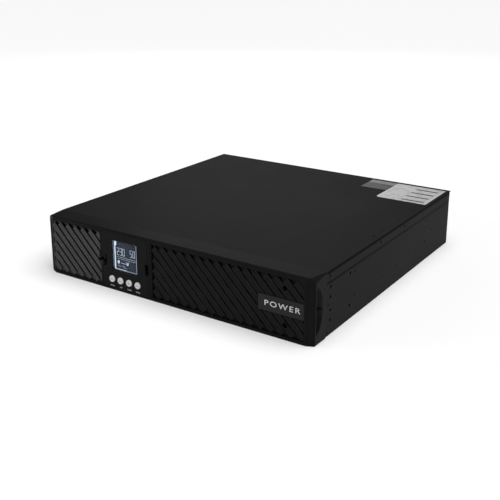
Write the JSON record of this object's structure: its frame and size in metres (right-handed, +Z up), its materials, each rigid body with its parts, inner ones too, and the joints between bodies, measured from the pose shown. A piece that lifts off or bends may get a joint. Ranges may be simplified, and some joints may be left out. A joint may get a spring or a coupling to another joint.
{
  "type": "uninterruptible power supply",
  "caption": "Flat black rack or tower power backup case: louvred plastic front, pull-out display with round keys, removable battery cover, steel shell, rear sockets and fans.",
  "frame": {"origin": "centre of the whole part's footprint, on the surface the case stands on", "axes": "+Z up, the front bezel faces -Y, +X to the right seen from the front"},
  "size_m": [0.438, 0.44, 0.0865],
  "materials": {
    "painted_steel": "fine textured black powder coat",
    "zinc_steel": "zinc plated sheet",
    "bezel_plastic": "fine spark-eroded black moulding",
    "left_grille_plastic": "satin dark grey moulding",
    "right_grille_plastic": "satin black moulding",
    "display_plastic": "smooth black moulding",
    "window_clear": "clear polished acrylic",
    "lcd_backlit": "backlit slate blue display",
    "key_plastic": "light grey satin moulding",
    "plate_plastic": "smooth black plate",
    "dark_screw": "black oxide",
    "handle_steel": "bright zinc",
    "label_paper": "silver-grey film",
    "battery_case": "grey moulded case",
    "copper_links": "tinned copper",
    "connector_plastic": "grey nylon",
    "circuit_board": "green solder mask",
    "heatsink_aluminium": "extruded, clear anodised",
    "component_black": "moulded epoxy",
    "capacitor_sleeve": "shrunk sleeve",
    "coil_copper": "enamelled winding",
    "ferrite": "sintered ferrite",
    "fan_plastic": "glass-filled black moulding",
    "outlet_plastic": "black nylon",
    "breaker_cap": "red moulding",
    "port_metal": "nickel plated shell",
    "slot_plate": "black powder coat",
    "terminal_green": "green moulding",
    "battery_socket_grey": "grey polycarbonate"
  },
  "bodies": {
    "case": {"base_pan": "painted_steel", "battery_partition": "zinc_steel", "bay_socket": "connector_plastic", "bezel_frame": "bezel_plastic", "board_standoffs": "zinc_steel", "breaker_body": "outlet_plastic", "bulk_capacitors": "capacitor_sleeve", "choke_coils": "coil_copper", "control_card": "circuit_board", "cover_bracket": "zinc_steel", "display_cradle": "bezel_plastic", "earth_stud": "port_metal", "epo_terminal": "terminal_green", "external_battery_socket": "battery_socket_grey", "fan_1_frame": "fan_plastic", "fan_2_frame": "fan_plastic", "fan_guards": "handle_steel", "flange_screws": "dark_screw", "inverter_heatsink": "heatsink_aluminium", "left_grille": "left_grille_plastic", "lid_labels": "label_paper", "main_board": "circuit_board", "mains_inlet": "outlet_plastic", "network_ports": "port_metal", "outlet_blocks": "outlet_plastic", "power_transistors": "component_black", "rear_panel": "painted_steel", "rear_screws": "dark_screw", "rectifier_heatsink": "heatsink_aluminium", "relays": "component_black", "serial_port": "port_metal", "slot_cover": "slot_plate", "top_cover": "painted_steel", "transformer": "ferrite", "usb_port": "port_metal"},
    "display_unit": {"display_shell": "display_plastic", "display_window": "window_clear", "lcd_module": "lcd_backlit", "display_board": "circuit_board", "display_back": "display_plastic"},
    "battery_drawer": {"battery_tray": "zinc_steel", "tray_handle": "handle_steel", "battery_strap": "zinc_steel", "battery_links": "copper_links", "tray_plug": "connector_plastic", "battery_1": "battery_case", "battery_2": "battery_case", "battery_3": "battery_case", "battery_4": "battery_case"},
    "cover": {"front_cover": "bezel_plastic", "right_grille": "right_grille_plastic", "name_plate": "plate_plastic", "cover_screws": "dark_screw"},
    "breaker_cap": {"breaker_button": "breaker_cap"},
    "fan_1": {"fan_1_rotor": "fan_plastic"},
    "fan_2": {"fan_2_rotor": "fan_plastic"},
    "key_escape": {"button_escape": "key_plastic"},
    "key_up": {"button_up": "key_plastic"},
    "key_down": {"button_down": "key_plastic"},
    "key_enter": {"button_enter": "key_plastic"}
  },
  "joints": [
    {"name": "display_slide", "type": "slide", "parent": "case", "child": "display_unit", "axis": [0, -1, 0], "range_m": [0, 0.02]},
    {"name": "key_escape_press", "type": "slide", "parent": "display_unit", "child": "key_escape", "axis": [0, 1, 0], "range_m": [0, 0.0008], "stiffness_N_per_m": 1500, "springref_m": -0.0002},
    {"name": "key_up_press", "type": "slide", "parent": "display_unit", "child": "key_up", "axis": [0, 1, 0], "range_m": [0, 0.0008], "stiffness_N_per_m": 1500, "springref_m": -0.0002},
    {"name": "key_down_press", "type": "slide", "parent": "display_unit", "child": "key_down", "axis": [0, 1, 0], "range_m": [0, 0.0008], "stiffness_N_per_m": 1500, "springref_m": -0.0002},
    {"name": "key_enter_press", "type": "slide", "parent": "display_unit", "child": "key_enter", "axis": [0, 1, 0], "range_m": [0, 0.0008], "stiffness_N_per_m": 1500, "springref_m": -0.0002},
    {"name": "battery_drawer_slide", "type": "slide", "parent": "case", "child": "battery_drawer", "axis": [0, -1, 0], "range_m": [0, 0.33]},
    {"name": "cover_pull", "type": "slide", "parent": "case", "child": "cover", "axis": [0, -1, 0], "range_m": [0, 0.429]},
    {"name": "breaker_reset", "type": "slide", "parent": "case", "child": "breaker_cap", "axis": [0, 1, 0], "range_m": [0, 0.004]},
    {"name": "fan_1_spin", "type": "hinge", "parent": "case", "child": "fan_1", "pos_m": [-0.173, 0.2033, 0.0432], "axis": [0, 1, 0], "continuous": true},
    {"name": "fan_2_spin", "type": "hinge", "parent": "case", "child": "fan_2", "pos_m": [-0.09, 0.2033, 0.0432], "axis": [0, 1, 0], "continuous": true}
  ],
  "couplings": [
    {"joint": "cover_pull", "follows": "battery_drawer_slide", "ratio": 1.3}
  ]
}
